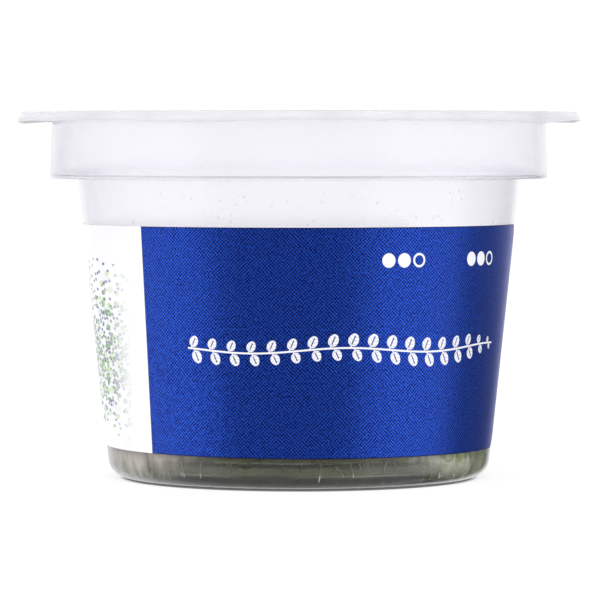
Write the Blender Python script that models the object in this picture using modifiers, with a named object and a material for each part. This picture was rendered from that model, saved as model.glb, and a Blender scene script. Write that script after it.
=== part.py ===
"""Carpet plant growing on culture gel in a clear, film-sealed cup.

Origin: the middle of the cup's base, on the surface that it stands on. +Z is up, and -Y is the front of the
label. Lengths are in metres. Run with: blender --background --python part.py
"""

import math
import random

import bmesh
import bpy
from mathutils import Matrix, Vector

MM = 0.001
COLLECTION = "carpet_plant_cup"
ROUND_STEPS = 44  # facets round the cup, its film, label and gel
FIT_GAP = 0.3 * MM  # air between neighbouring pieces

# Cup: one moulding of clear plastic
FOOT_RADIUS = 32.03 * MM  # the outer wall carried straight down to the table
WALL_TAPER = 0.105  # growth of the wall's radius for each unit of height
BASE_FILLET = 3.2 * MM
WALL = 0.8 * MM
FLOOR = 1.0 * MM
SHOULDER_UNDERSIDE = 50.45 * MM
SHOULDER = 0.9 * MM
COLLAR_LOW_RADIUS = 42.1 * MM
COLLAR_HIGH_RADIUS = 41.75 * MM
COLLAR_EDGE_ROUNDING = 0.3 * MM
COLLAR_INNER_RADIUS = 40.0 * MM
COLLAR_INNER_ROUNDING = 0.3 * MM
FLANGE_RADIUS = 46.4 * MM
FLANGE_UNDERSIDE = 60.2 * MM
FLANGE = 0.9 * MM
FLANGE_TOP = FLANGE_UNDERSIDE + FLANGE

# Sealing film: a disc with a drooping, waved brim
FILM_THICKNESS = 0.35 * MM
FILM_TOP = FLANGE_TOP + FIT_GAP + FILM_THICKNESS
FILM_BEND_RADIUS = 46.75 * MM
BRIM_TOP_RADIUS = 47.06 * MM
BRIM_LOW_RADIUS = 47.6 * MM
BRIM_DROP = 1.65 * MM
BRIM_WAVE = 0.3 * MM
BRIM_WAVES = ((5, 0.4), (9, 1.7))  # waves round the brim, and where each starts in radians

# Label: a thin sheet wrapped round the wall, blue in front and white on to the back
LABEL_LOW = 5.1 * MM
LABEL_HIGH = 42.8 * MM
LABEL_THICKNESS = 0.2 * MM
LABEL_RIGHT_END = 85.0  # degrees round from the front, positive to the right
LABEL_LEFT_END = -215.0
LABEL_CORNER = 3.5 * MM
LABEL_STEP = 360.0 / ROUND_STEPS

# Gel
GEL_SURFACE = 6.3 * MM
WELL_RADIUS = 2.9 * MM
WELL_FLOOR = 2.0 * MM
WELL_STEPS = 10

# Plantlets: one in the middle and six round it. A side stem's leaves reach 10.1 mm from the plantlet's
# middle, under half of the ring's radius, so that neighbours stay clear
SEED = 60
RING_RADIUS = 20.9 * MM
RING_COUNT = 6
RING_TURN = 14.0  # degrees
CROWN_RADIUS = 1.9 * MM
CROWN_FLATNESS = 0.5  # the crown's height over its width
CROWN_HEIGHT = GEL_SURFACE + FIT_GAP + CROWN_RADIUS * CROWN_FLATNESS
STEM_START = 1.05 * MM  # from the crown's middle
ROOT_COUNT = 2
ROOT_RADIUS = 0.45 * MM
ROOT_START = 0.8 * MM  # from the crown's middle
ROOT_SPREAD = 1.6 * MM
ROOT_FOOT = WELL_FLOOR + FIT_GAP
STEM_RADIUS = 0.5 * MM
STEM_POINTS = 4
SIDE_STEMS = 5
MIDDLE_STEM = (0.8 * MM, 16.0 * MM)  # how far out and up the middle stem grows
SIDE_STEM = (7.2 * MM, 10.5 * MM)
STEM_GROWTH = (0.82, 1.22)  # range of the height given by chance
STEM_THINNING = 0.7  # the tip's radius over the foot's
ROOT_THINNING = 0.5
STEM_SWAY = 0.12  # radians that a stem strays from its even place round the crown
LEAF_RADIUS = 2.55 * MM
LEAF_SHOULDER = 0.78  # the blade's top face over its lower one
LEAF_FOOT = 0.12 * MM  # from the stem's axis to the leaf's nearest corner
LEAF_SIZES = (0.88, 1.0)
LEAF_THICKNESS = 0.45 * MM
LEAF_SIDES = 6
LEAF_LIFT = (10.0, 28.0)  # range of the degrees that a leaf rises away from its stem
LEAF_SWAY = 0.2  # radians
LOW_PAIR = 0.62  # where along the stem a lower pair stands; every other side stem has none

CLEAR_PLASTIC = ((0.93, 0.93, 0.97), 0.12, 0.25)  # colour, roughness and opacity
CLEAR_FILM = ((0.90, 0.90, 0.96), 0.25, 0.35)
LABEL_BLUE = ((0.03, 0.07, 0.32), 0.45, 1.0)
GEL_GREY = ((0.62, 0.62, 0.55), 0.2, 0.45)
LEAF_GREEN = ((0.16, 0.38, 0.06), 0.5, 1.0)


def clear_scene():
    """Removes everything that the scene starts with."""
    for thing in list(bpy.data.objects):
        bpy.data.objects.remove(thing, do_unlink=True)


def new_collection(name, hidden=False):
    """A collection in the scene, left out of renders when it holds only helpers."""
    collection = bpy.data.collections.new(name)
    bpy.context.scene.collection.children.link(collection)
    collection.hide_render = hidden
    return collection


def material(name, finish):
    """A Principled material from a colour, a roughness and an opacity."""
    colour, roughness, opacity = finish
    made = bpy.data.materials.new(name)
    made.use_nodes = True
    shader = made.node_tree.nodes["Principled BSDF"]
    shader.inputs["Base Color"].default_value = (*colour, 1.0)
    shader.inputs["Roughness"].default_value = roughness
    shader.inputs["Alpha"].default_value = opacity
    shader.inputs["Metallic"].default_value = 0.0
    return made


def arc(centre, radius, start, end, steps):
    """Points of an arc in the section plane, its angles in degrees from +X."""
    points = []
    for i in range(steps + 1):
        angle = math.radians(start + (end - start) * i / steps)
        points.append((centre[0] + radius * math.cos(angle), centre[1] + radius * math.sin(angle)))
    return points


def wall_radius(height, inset=0.0):
    """Radius of the tapered wall at a height, the given distance inside its outer face."""
    return FOOT_RADIUS + WALL_TAPER * height - inset * math.hypot(1.0, WALL_TAPER)


def foot_arc(inset, floor, steps):
    """The rounded foot between the wall and the floor, run from the floor up to the wall."""
    radius = BASE_FILLET - inset
    height = floor + radius
    middle = wall_radius(height, inset) - radius * math.hypot(1.0, WALL_TAPER)
    wall_angle = -math.degrees(math.atan(WALL_TAPER))
    return arc((middle, height), radius, -90.0, wall_angle, steps)


def turned(name, profile, collection):
    """A body turned about Z from a section of (radius, height) points that starts and ends on the axis."""
    mesh = bpy.data.meshes.new(name)
    edges = [(i, i + 1) for i in range(len(profile) - 1)]
    mesh.from_pydata([(r, 0.0, z) for r, z in profile], edges, [])
    turned_object = bpy.data.objects.new(name, mesh)
    collection.objects.link(turned_object)
    screw = turned_object.modifiers.new("Turn", "SCREW")
    screw.axis = "Z"
    screw.steps = screw.render_steps = ROUND_STEPS
    screw.use_merge_vertices = True
    screw.merge_threshold = 0.01 * MM
    return turned_object


def as_mesh(source, collection, weld=0.001 * MM):
    """Replaces an object by a plain mesh of its evaluated shape, with its loose caps welded."""
    bpy.context.view_layer.update()
    graph = bpy.context.evaluated_depsgraph_get()
    mesh = bpy.data.meshes.new_from_object(source.evaluated_get(graph))
    shape = bmesh.new()
    shape.from_mesh(mesh)
    bmesh.ops.remove_doubles(shape, verts=shape.verts, dist=weld)
    shape.to_mesh(mesh)
    shape.free()
    name, place = source.name, source.matrix_world.copy()
    bpy.data.objects.remove(source, do_unlink=True)
    plain = bpy.data.objects.new(name, mesh)
    plain.matrix_world = place
    collection.objects.link(plain)
    return plain


def object_from(name, shape, collection):
    """An object made from a bmesh, which it frees."""
    mesh = bpy.data.meshes.new(name)
    shape.to_mesh(mesh)
    shape.free()
    made = bpy.data.objects.new(name, mesh)
    collection.objects.link(made)
    return made


def as_helper(made):
    """Keeps an object that another piece's Boolean uses out of renders."""
    made.display_type = "WIRE"
    made.hide_render = True
    return made


def outward(angle):
    """The level direction at an angle round the axis, in radians from +X."""
    return Vector((math.cos(angle), math.sin(angle), 0.0))


def shade_round(made, sharp_angle=35.0):
    """Smooth shading that keeps edges over the given angle crisp."""
    made.data.shade_smooth()
    made.data.set_sharp_from_angle(angle=math.radians(sharp_angle))


def make_cup(collection):
    """Cup: floor, tapered wall, shoulder, thick collar and the flange that the film is sealed to."""
    collar_floor = SHOULDER_UNDERSIDE + SHOULDER
    inner_corner = (COLLAR_INNER_RADIUS - COLLAR_INNER_ROUNDING, collar_floor + COLLAR_INNER_ROUNDING)
    outer_corner = (COLLAR_LOW_RADIUS - COLLAR_EDGE_ROUNDING, SHOULDER_UNDERSIDE + COLLAR_EDGE_ROUNDING)
    flange_rounding = FLANGE / 3
    edge_top = (FLANGE_RADIUS - flange_rounding, FLANGE_TOP - flange_rounding)
    edge_low = (FLANGE_RADIUS - flange_rounding, FLANGE_UNDERSIDE + flange_rounding)

    inside = [(0.0, FLOOR)] + foot_arc(WALL, FLOOR, 3)
    inside += [(wall_radius(collar_floor, WALL), collar_floor)]
    inside += arc(inner_corner, COLLAR_INNER_ROUNDING, -90.0, 0.0, 2)
    rim = [(COLLAR_INNER_RADIUS, FLANGE_TOP)]
    rim += arc(edge_top, flange_rounding, 90.0, 0.0, 1) + arc(edge_low, flange_rounding, 0.0, -90.0, 1)
    outside = [(COLLAR_HIGH_RADIUS, FLANGE_UNDERSIDE)]
    outside += arc(outer_corner, COLLAR_EDGE_ROUNDING, 0.0, -90.0, 2)
    outside += [(wall_radius(SHOULDER_UNDERSIDE), SHOULDER_UNDERSIDE)]
    outside += list(reversed(foot_arc(0.0, 0.0, 4))) + [(0.0, 0.0)]

    cup = turned("cup", inside + rim + outside, collection)
    cup.data.materials.append(material("clear_plastic", CLEAR_PLASTIC))
    return cup


def brim_wave(angle):
    """Height of the brim's wave round the film, between -1 and 1."""
    return sum(math.sin(count * angle + start) for count, start in BRIM_WAVES) / len(BRIM_WAVES)


def make_sealing_film(collection):
    """Sealing film: a flat disc over the flange, whose brim hangs in shallow waves just outside it."""
    brim_foot = FILM_TOP - BRIM_DROP
    inner_low = BRIM_LOW_RADIUS - FILM_THICKNESS
    inner_top = BRIM_TOP_RADIUS - FILM_THICKNESS
    profile = [
        (0.0, FILM_TOP),
        (FILM_BEND_RADIUS, FILM_TOP),
        (BRIM_TOP_RADIUS, FILM_TOP - FILM_THICKNESS),
        (BRIM_LOW_RADIUS, brim_foot),
        (inner_low, brim_foot),
        (inner_top, FILM_TOP - FILM_THICKNESS),
        (0.0, FILM_TOP - FILM_THICKNESS),
    ]
    film = as_mesh(turned("sealing_film", profile, collection), collection)
    for vertex in film.data.vertices:
        x, y, z = vertex.co
        sink = max(0.0, FILM_TOP - FILM_THICKNESS - z) / (BRIM_DROP - FILM_THICKNESS)
        vertex.co.z += sink * BRIM_WAVE * brim_wave(math.atan2(y, x))
    film.data.materials.append(material("clear_film", CLEAR_FILM))
    shade_round(film)
    return film


def corner_inset(distance):
    """How far the label's edge steps in from its full height, at a distance from its end."""
    if distance >= LABEL_CORNER:
        return 0.0
    short = LABEL_CORNER - distance
    return LABEL_CORNER - math.sqrt(LABEL_CORNER**2 - short**2)


def label_angles():
    """Angles round the cup for the label's columns, in degrees, closer together at its rounded ends."""
    end_turn = math.degrees(LABEL_CORNER / wall_radius(LABEL_HIGH))
    ends = [end_turn * part for part in (0.0, 0.08, 0.3, 0.62, 1.0)]
    first = math.ceil((LABEL_LEFT_END + end_turn) / LABEL_STEP + 0.2)
    last = math.floor((LABEL_RIGHT_END - end_turn) / LABEL_STEP - 0.2)
    middle = [LABEL_STEP * i for i in range(first, last + 1)]
    return [LABEL_LEFT_END + a for a in ends] + middle + [LABEL_RIGHT_END - a for a in reversed(ends)]


def make_label(collection):
    """Label: an open sheet on the cone of the wall, given its thickness outwards."""
    shape = bmesh.new()
    columns = []
    for degrees in label_angles():
        to_end = min(degrees - LABEL_LEFT_END, LABEL_RIGHT_END - degrees)
        inset = corner_inset(math.radians(to_end) * wall_radius(LABEL_HIGH))
        column = []
        for height in (LABEL_LOW + inset, LABEL_HIGH - inset):
            # Round from the front, which is -Y, with +X to the right
            angle = math.radians(degrees)
            radius = wall_radius(height, -FIT_GAP)
            column.append(shape.verts.new((radius * math.sin(angle), -radius * math.cos(angle), height)))
        columns.append(column)
    for (low, high), (next_low, next_high) in zip(columns, columns[1:]):
        shape.faces.new((low, next_low, next_high, high))
    label = object_from("label", shape, collection)
    sheet = label.modifiers.new("Thickness", "SOLIDIFY")
    sheet.thickness = LABEL_THICKNESS
    sheet.offset = 1.0
    label.data.materials.append(material("label_blue", LABEL_BLUE))
    return label


def plantlet_places():
    """Where the plantlets stand on the gel: the middle one, then the ring round it."""
    places = [Vector((0.0, 0.0, 0.0))]
    for i in range(RING_COUNT):
        places.append(outward(math.radians(RING_TURN + 360.0 * i / RING_COUNT)) * RING_RADIUS)
    return places


def make_gel(collection, cutters):
    """Gel: it fills the cup's foot, with a well for each plantlet's roots."""
    inset = WALL + FIT_GAP
    section = foot_arc(inset, FLOOR + FIT_GAP, 3)
    profile = [(0.0, GEL_SURFACE), (wall_radius(GEL_SURFACE, inset), GEL_SURFACE)]
    profile += list(reversed(section)) + [(0.0, FLOOR + FIT_GAP)]
    gel = turned("gel", profile, collection)
    gel.data.materials.append(material("gel", GEL_GREY))

    shape = bmesh.new()
    depth = GEL_SURFACE - WELL_FLOOR + FIT_GAP
    for place in plantlet_places():
        middle = Matrix.Translation(place + Vector((0.0, 0.0, WELL_FLOOR + depth / 2)))
        bmesh.ops.create_cone(shape, cap_ends=True, segments=WELL_STEPS, radius1=WELL_RADIUS,
                              radius2=WELL_RADIUS, depth=depth, matrix=middle)
    cut = gel.modifiers.new("Root wells", "BOOLEAN")
    cut.operation = "DIFFERENCE"
    cut.object = as_helper(object_from("root_wells", shape, cutters))
    return gel


def tube(name, points, radius, end_scale, collection):
    """A closed four-sided tube through the points, thinning to the given share of its radius."""
    curve = bpy.data.curves.new(name, "CURVE")
    curve.dimensions = "3D"
    curve.bevel_depth = radius
    curve.bevel_resolution = 0
    curve.use_fill_caps = True
    spline = curve.splines.new("POLY")
    spline.points.add(len(points) - 1)
    for i, (point, place) in enumerate(zip(spline.points, points)):
        point.co = (*place, 1.0)
        point.radius = 1.0 + (end_scale - 1.0) * i / (len(points) - 1)
    stem = bpy.data.objects.new(name, curve)
    collection.objects.link(stem)
    return as_mesh(stem, collection)


def stem_path(foot, azimuth, growth, way):
    """Points of a stem that leaves its crown steeply and leans out towards its azimuth."""
    out, rise = growth
    points = []
    for i in range(STEM_POINTS):
        t = i / (STEM_POINTS - 1)
        lean = outward(azimuth) * (out * t**1.3)
        bow = outward(azimuth + math.pi / 2) * (math.sin(math.pi * t) * way * STEM_RADIUS)
        points.append(foot + lean + bow + Vector((0.0, 0.0, rise * t**0.9)))
    return points


def along(points, share):
    """The point at a share of the way through a list of evenly stepped points."""
    place = share * (len(points) - 1)
    before = min(int(place), len(points) - 2)
    return points[before].lerp(points[before + 1], place - before)


def add_leaf(shape, foot, facing, lift, size):
    """A round leaf as a low hexagonal dome, its edge on the stem and its blade rising outwards."""
    blade = Matrix.Rotation(facing, 4, "Z") @ Matrix.Rotation(-lift, 4, "Y")
    corner_in = Matrix.Rotation(math.radians(90.0), 4, "Z")
    corner_in.translation = (size + LEAF_FOOT, 0.0, 0.0)
    bmesh.ops.create_cone(shape, cap_ends=True, segments=LEAF_SIDES, radius1=size,
                          radius2=size * LEAF_SHOULDER, depth=LEAF_THICKNESS,
                          matrix=Matrix.Translation(foot) @ blade @ corner_in)


def joined(name, pieces, collection):
    """One object from several meshes, which stay separate bodies inside it."""
    shape = bmesh.new()
    for piece in pieces:
        shape.from_mesh(piece.data)
        bpy.data.objects.remove(piece, do_unlink=True)
    return object_from(name, shape, collection)


def make_crown(name, place, collection):
    """The crown just above the gel, which the stems and roots grow from."""
    shape = bmesh.new()
    middle = Matrix.Translation(place + Vector((0.0, 0.0, CROWN_HEIGHT)))
    bmesh.ops.create_icosphere(shape, subdivisions=1, radius=CROWN_RADIUS,
                               matrix=middle @ Matrix.Diagonal((1.0, 1.0, CROWN_FLATNESS, 1.0)))
    return object_from(name, shape, collection)


def make_plantlet(number, place, green, collection, cutters):
    """One plantlet: crown, roots and stems, with pairs of round leaves that are fused to the stems."""
    chance = random.Random(SEED + number)
    name = f"plantlet_{number}"
    crown_middle = place + Vector((0.0, 0.0, CROWN_HEIGHT))
    pieces = [make_crown(f"{name}_crown", place, collection)]
    turn = chance.uniform(0.0, math.tau)

    for i in range(ROOT_COUNT):
        way = outward(turn + math.tau * i / ROOT_COUNT)
        top = crown_middle + way * ROOT_START
        foot = place + way * ROOT_SPREAD + Vector((0.0, 0.0, ROOT_FOOT))
        pieces.append(tube(f"{name}_root_{i}", [top, foot], ROOT_RADIUS, ROOT_THINNING, collection))

    leaves = bmesh.new()
    for i in range(SIDE_STEMS + 1):
        middle = i == SIDE_STEMS
        azimuth = turn + math.tau * i / SIDE_STEMS + chance.uniform(-STEM_SWAY, STEM_SWAY)
        out, rise = MIDDLE_STEM if middle else SIDE_STEM
        rise *= chance.uniform(*STEM_GROWTH)
        start = 0.0 if middle else STEM_START
        foot = crown_middle + outward(azimuth) * start
        path = stem_path(foot, azimuth, (out - start, rise), chance.choice((-1.0, 1.0)))
        pieces.append(tube(f"{name}_stem_{i}", path, STEM_RADIUS, STEM_THINNING, collection))
        for pair, share in enumerate((1.0,) if i % 2 == 0 and not middle else (LOW_PAIR, 1.0)):
            # The middle stem's pairs cross, and the side stems' pairs stand across their lean
            facing = azimuth + math.radians(90.0) * (pair if middle else 1)
            size = LEAF_RADIUS * chance.uniform(*LEAF_SIZES)
            for side in (0.0, math.pi):
                lift = math.radians(chance.uniform(*LEAF_LIFT))
                sway = chance.uniform(-LEAF_SWAY, LEAF_SWAY)
                add_leaf(leaves, along(path, share), facing + side + sway, lift, size)

    plantlet = joined(name, pieces, collection)
    fuse = plantlet.modifiers.new("Fuse leaves", "BOOLEAN")
    fuse.operation = "UNION"
    fuse.use_self = True
    fuse.object = as_helper(object_from(f"{name}_leaves", leaves, cutters))
    plantlet.data.materials.append(green)
    return plantlet


def main():
    """Builds every piece where it stands in the filled cup."""
    clear_scene()
    parts = new_collection(COLLECTION)
    cutters = new_collection("cutters", hidden=True)
    make_cup(parts)
    make_sealing_film(parts)
    make_label(parts)
    make_gel(parts, cutters)
    green = material("leaf_green", LEAF_GREEN)
    for number, place in enumerate(plantlet_places(), start=1):
        make_plantlet(number, place, green, parts, cutters)


main()
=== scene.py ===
"""Looks of a carpet plant that grows on culture gel in a clear, film-sealed cup.

Lengths are in metres, in the packed model's frame: the origin is the middle of the cup's base, +Z is up, -Y
is the front of the label and +X is to its right. Angles round the cup are counted from the front, positive
to the right, so that a place is (radius * sin(angle), -radius * cos(angle), height).
"""

import math

import bpy
import numpy as np
from bpy.props import FloatProperty, FloatVectorProperty, IntProperty, PointerProperty
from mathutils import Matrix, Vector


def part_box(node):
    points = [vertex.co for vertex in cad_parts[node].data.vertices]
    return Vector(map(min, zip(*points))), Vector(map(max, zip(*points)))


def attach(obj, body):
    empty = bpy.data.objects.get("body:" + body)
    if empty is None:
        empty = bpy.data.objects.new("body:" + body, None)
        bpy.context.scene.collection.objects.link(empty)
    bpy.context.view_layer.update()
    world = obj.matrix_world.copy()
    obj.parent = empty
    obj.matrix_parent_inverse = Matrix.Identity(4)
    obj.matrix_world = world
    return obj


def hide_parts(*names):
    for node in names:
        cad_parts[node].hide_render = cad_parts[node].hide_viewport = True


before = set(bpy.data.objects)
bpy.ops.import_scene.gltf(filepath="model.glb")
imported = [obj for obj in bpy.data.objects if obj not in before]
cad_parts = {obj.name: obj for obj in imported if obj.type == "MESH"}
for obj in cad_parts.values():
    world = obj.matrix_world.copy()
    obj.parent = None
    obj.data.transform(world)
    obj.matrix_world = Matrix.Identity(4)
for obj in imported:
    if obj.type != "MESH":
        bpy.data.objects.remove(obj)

bl_info = {
    "name": "Carpet plant in a culture cup",
    "version": (1, 0, 0),
    "blender": (4, 5, 0),
    "location": "View3D > Sidebar > Carpet plant",
    "description": "Makes a carpet plant on gel in a clear cup, with its sealing film and label",
    "category": "Add Mesh",
}

MM = 0.001
TURN = 2.0 * math.pi
WHITE = (1.0, 1.0, 1.0)
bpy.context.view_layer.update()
BODY = "root"
PLANTLET_COUNT = sum(name.startswith("plantlet_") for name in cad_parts)
FILM_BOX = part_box("sealing_film")
LABEL_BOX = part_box("label")

# Fineness
ROUND_STEPS = 288
CORNER_STEPS = 8
CORNER_HOLD = 0.12 * MM  # a ring this far outside each rounding keeps the flat parts' shading flat
LABEL_ROWS, LABEL_COLUMNS = 24, 420
STEM_POINTS, ROOT_POINTS = 14, 9
FILM_RINGS = (30, 14, 7, 10)  # on the slack film, the flat seal, the bend and the brim
BOUNCES = {"max": 64, "transmission": 64, "glossy": 40, "diffuse": 4}  # of light, many for clear pieces

# Cup
WALL_TAPER = 0.105  # growth of the wall's radius for each unit of height
FLOOR = 1.0 * MM
BASE_FILLET = 3.2 * MM
SHOULDER_UNDERSIDE = 50.45 * MM
LEDGE = SHOULDER_UNDERSIDE + 0.4 * MM
COLLAR_INNER_ROUNDING = 0.25 * MM
FLANGE_UNDERSIDE = 60.5 * MM
FLANGE_TOP = 61.1 * MM
EDGE_ROUNDING = 0.1 * MM
OUTER_ROUNDING = 0.5 * MM

# Film
BRIM_BEND = 0.35 * MM
BRIM_DROP = 1.65 * MM
BRIM_FLARE = 0.5 * MM
BRIM_CURL = math.radians(84.0)
BRIM_WAVE = 0.28 * MM
SEAL_RADIUS = (41.2 * MM, 45.6 * MM)  # the film is pressed on the flange from here to there
SEAL_DEPTH = 0.06 * MM
CREASES = (  # in the brim: angle and half width in degrees, and how far it is pushed in, in mm
    (-44.4, 7.5, 0.34), (-31.6, 4.0, 0.22), (-14.0, 8.0, 0.12), (5.9, 4.6, 0.26), (21.4, 1.6, 0.20),
    (33.3, 4.2, 0.18), (56.5, 6.0, 0.42), (96.0, 6.0, 0.30), (131.0, 8.0, 0.24), (172.0, 5.0, 0.32),
    (-158.0, 7.0, 0.20), (-117.0, 6.0, 0.36), (-83.0, 3.0, 0.20),
)

# Label
LABEL_GAP = 0.03 * MM
LABEL_THICKNESS = 0.1 * MM
LABEL_SKEW = 0.22 * MM
PRINT_PLACE = "print_place"
BORDER = (-0.0423, -26.8 * MM)  # the blue begins this far round the label: first * height + second
INK_EDGE = 0.12 * MM  # width over which the blue begins
SPRIG = (-18.9 * MM, 41.0 * MM, 22.8 * MM)  # where it starts and ends, and its height
SCALES = (15.0 * MM, 32.6 * MM)  # where each row of dots starts
SCALE_HEIGHT = 37.4 * MM
DRIFT_LAYERS = (  # leaf size in mm, turn, share kept, reach in its cell, strength and colours
    (2.4, 0.6, 0.90, 0.38, 0.50, ((0.45, 0.62, 0.34), (0.62, 0.74, 0.50), (0.50, 0.60, 0.62))),
    (1.5, 2.3, 1.05, 0.40, 0.85,
     ((0.20, 0.42, 0.10), (0.38, 0.60, 0.18), (0.08, 0.22, 0.07), (0.55, 0.68, 0.28))),
    (0.9, 1.4, 0.85, 0.40, 0.95,
     ((0.05, 0.06, 0.26), (0.14, 0.34, 0.08), (0.20, 0.14, 0.36), (0.03, 0.13, 0.10))),
)

# Gel
GEL_OVERLAP = 0.02 * MM  # into the cup, so that no air is left between gel and plastic
GEL_CLIMB = 0.7 * MM
GEL_SWELL = 0.12 * MM

# Plants
WALL_ROOTS = (  # roots against the front of the wall: angle at top and foot, height of top and foot in mm
    (-40.3, -37.6, 5.6, 2.0), (-38.4, -36.5, 5.6, 1.8), (-30.5, -30.3, 5.5, 1.7), (-21.6, -21.9, 5.6, 3.8),
    (-20.0, -21.0, 5.8, 2.9), (6.2, 6.2, 5.8, 1.3), (11.2, 13.1, 3.9, 2.2), (15.6, 16.2, 5.8, 2.0),
    (17.8, 18.4, 4.5, 3.2), (20.7, 21.3, 5.8, 2.8), (25.2, 25.0, 5.6, 4.2), (27.9, 25.9, 5.6, 2.5),
    (39.6, 39.0, 5.8, 2.6), (41.1, 40.0, 5.8, 2.4),
)
BROWN_ROOTS = (  # the same for the old brown ones, all round the wall
    (-73.5, -70.0, 5.9, 3.2), (-66.0, -58.5, 6.0, 2.7), (-57.5, -53.5, 6.0, 4.0), (-59.0, -59.5, 5.8, 3.9),
    (-42.0, -41.0, 5.7, 4.2), (62.0, 60.5, 5.9, 3.4), (118.0, 115.0, 5.9, 2.6), (196.0, 199.0, 5.9, 2.9),
    (251.0, 249.0, 5.9, 2.4),
)
MATTED_FROM = 43.0  # degrees round from the front, past which roots and leaves mat against the wall
STEM_TAPER, ROOT_TAPER = (0.36, 0.2), (0.18, 0.1)  # radii at foot and tip, in mm
LEAF_CLEARANCE = (0.12 * MM, 1.5 * MM)  # gap to the wall, and the distance over which leaves give way
ROOT_CLEARANCE = (0.05 * MM, 0.1 * MM)
GOLDEN_TURN = 2.39996  # from each stem to the next, so that they spread evenly
LEAF_SPOKES = 10
LEAF_WIDTH = 0.43
LEAF_POINTS = np.array([2, 4, 6, 8, 10, 12, 13])  # the points of a stem that carry leaves

# Drops
DROPS_TOP, DROPS_REACH = LEDGE - 2.0 * MM, LEDGE - 30.0 * MM  # highest drop, and how far they go down

# Stage
STUDIO_RADIUS, STUDIO_STEPS = 2.4, 161
STUDIO_HEIGHTS = np.array((-2.6, -0.18, -0.03, 3.0))
FLAGGED = np.array((1.0, 1.0, 0.0, 0.0))[:, None]  # the rows of heights that the dark flag covers
HALF_TURN, FRONT_END, FLAG_END, FLAG_FURTHER, SOFTNESS = np.radians((165.0, 70.0, 145.0, 13.0, 5.0))
SOFT_BOXES = np.radians(((-75.0, 26.0), (67.5, 29.5)))  # middle and half width round from the camera
TABLE_REACH, TABLE_HEIGHT = 4.0, -0.2 * MM
CUP_SHADE = (29.9 * MM, 32.3 * MM)  # half width and depth of the shaded place under the cup
KEY_LIGHT = (1.2, (-0.25, -1.05, 1.3), np.radians((40.4, 0.0, -13.4)))  # size, place and turn


def kind_of(make, **options):
    """A kind of setting, which is then written as its name, description and default."""
    def setting(name, description, default):
        return make(name=name, description=description, default=default, **options)
    return setting


length = kind_of(FloatProperty, min=0.0, precision=5, unit="LENGTH", subtype="DISTANCE")  # in metres
angle = kind_of(FloatProperty, unit="ROTATION", subtype="ANGLE")
share = kind_of(FloatProperty, min=0.0, max=1.0, subtype="FACTOR")
number = kind_of(FloatProperty, min=0.0)
whole = kind_of(IntProperty, min=0)
colour = kind_of(FloatVectorProperty, size=3, min=0.0, max=1.0, subtype="COLOR")  # in linear light


class CupSettings(bpy.types.PropertyGroup):
    """The clear plastic cup"""

    foot_radius: length("Foot radius", "The outer wall carried straight down to the table", 0.03203)
    wall: length("Wall", "Thickness of the tapered wall", 0.0008)
    collar_low_radius: length("Collar radius", "Outer radius of the collar just above the shoulder", 0.0421)
    collar_high_radius: length("Collar top radius", "Outer radius of the collar under the flange", 0.04175)
    collar_inner_radius: length("Collar bore", "Inner radius of the collar", 0.04)
    flange_radius: length("Flange radius", "Radius of the flange that the film is sealed to", 0.0464)
    tint: colour("Plastic tint", "What the plastic lets through", (0.96, 0.954, 0.98))
    roughness: share("Plastic roughness", "Haze of the plastic's surface", 0.14)
    ior: number("Plastic IOR", "Refraction of the plastic", 1.49)
    absorbed: colour("Plastic colour", "What is left of the light taken in", (0.56, 0.53, 0.78))
    density: number("Plastic density", "Absorption for each metre of plastic", 13.0)


class FilmSettings(bpy.types.PropertyGroup):
    """The sealing film"""

    radius: length("Film radius", "Radius of the film at the foot of its brim", FILM_BOX[1].x)
    top: length("Film height", "Height of the film's upper face", FILM_BOX[1].z)
    thickness: length("Film thickness", "Thickness of the film", 0.00022)
    ripple: length("Ripple", "Height of the slack film's ripples", 0.00012)
    tint: colour("Film tint", "What the film lets through", (0.955, 0.945, 0.995))
    # painted shade in the brim's creases
    crease: colour("Crease tint", "What is left of it where the brim is creased", (0.86, 0.85, 0.90))
    roughness: share("Film roughness", "Haze of the film", 0.14)
    ior: number("Film IOR", "Refraction of the film", 1.12)
    clear: share("Clear share", "How much light goes straight through the flat film", 0.94)
    brim_clear: share("Clear share of the brim", "How much goes through the creased brim", 0.4)


class LabelSettings(bpy.types.PropertyGroup):
    """The label and its print"""

    low: length("Label foot", "Height of the label's lower edge", LABEL_BOX[0].z)
    high: length("Label top", "Height of the label's upper edge", LABEL_BOX[1].z)
    left_end: angle("Left end", "Where the label ends, past the back of the cup", math.radians(-215.0))
    right_end: angle("Right end", "Where the label ends on the right", math.radians(85.0))
    corner: length("Corner", "Radius of the label's corners", 0.0035)
    deep_blue: colour("Deep blue", "The blue between the raster's points", (0.0, 0.003, 0.11))
    bright_blue: colour("Bright blue", "The raster's points", (0.016, 0.094, 0.60))
    # dark ink along the blue's border with the white, and painted shade along the label's cut edges
    border_ink_and_edge_shade: colour("Cut blue", "The thin dark line along the blue's cut edge", (0.004, 0.004, 0.03))
    back_of_blue: colour("Back of the blue", "The print's underside, through the cup", (0.42, 0.47, 0.66))
    white: colour("Label white", "The unprinted film", (0.89, 0.89, 0.91))
    backing: colour("Backing", "The label's underside and cut edge", (0.97, 0.97, 0.98))
    metallic: share("Metallic share", "How much of the blue shines as metal foil does", 0.75)
    raster: length("Raster pitch", "Distance between the raster's rows", 0.00042)
    dot_radius: length("Dot radius", "Radius of the white dots of the two scales", 0.00118)


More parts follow.
